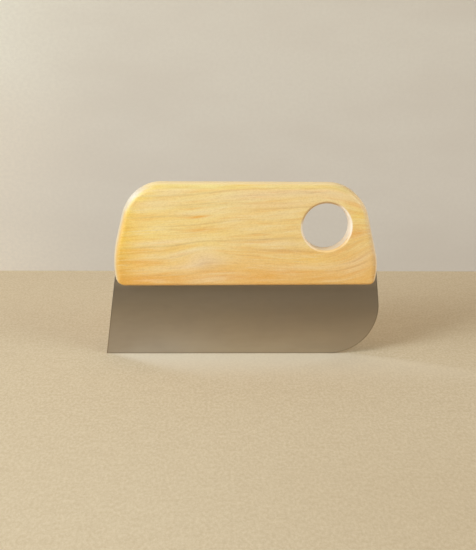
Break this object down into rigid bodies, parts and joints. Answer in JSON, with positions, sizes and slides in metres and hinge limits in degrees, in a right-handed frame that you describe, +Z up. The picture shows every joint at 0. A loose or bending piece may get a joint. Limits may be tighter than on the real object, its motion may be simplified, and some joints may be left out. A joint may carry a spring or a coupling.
{
  "type": "dough scraper",
  "caption": "Flat steel blade with one rounded corner, set in the sawn underside of a rounded wooden board handle bored for hanging.",
  "frame": {"origin": "middle of the blade's straight edge, at the bottom centre of the bounding box", "axes": "+X along the blade's edge, towards its rounded corner; +Y through the thickness, from the front face to the back; +Z up, from the blade to the handle's top"},
  "size_m": [0.165, 0.015, 0.105],
  "materials": {
    "birch": "oiled, fine sanded",
    "steel": "satin",
    "adhesive": "hardened adhesive"
  },
  "bodies": {
    "root": {"handle": "birch", "blade": "steel", "glue_bead": "adhesive"}
  },
  "joints": []
}
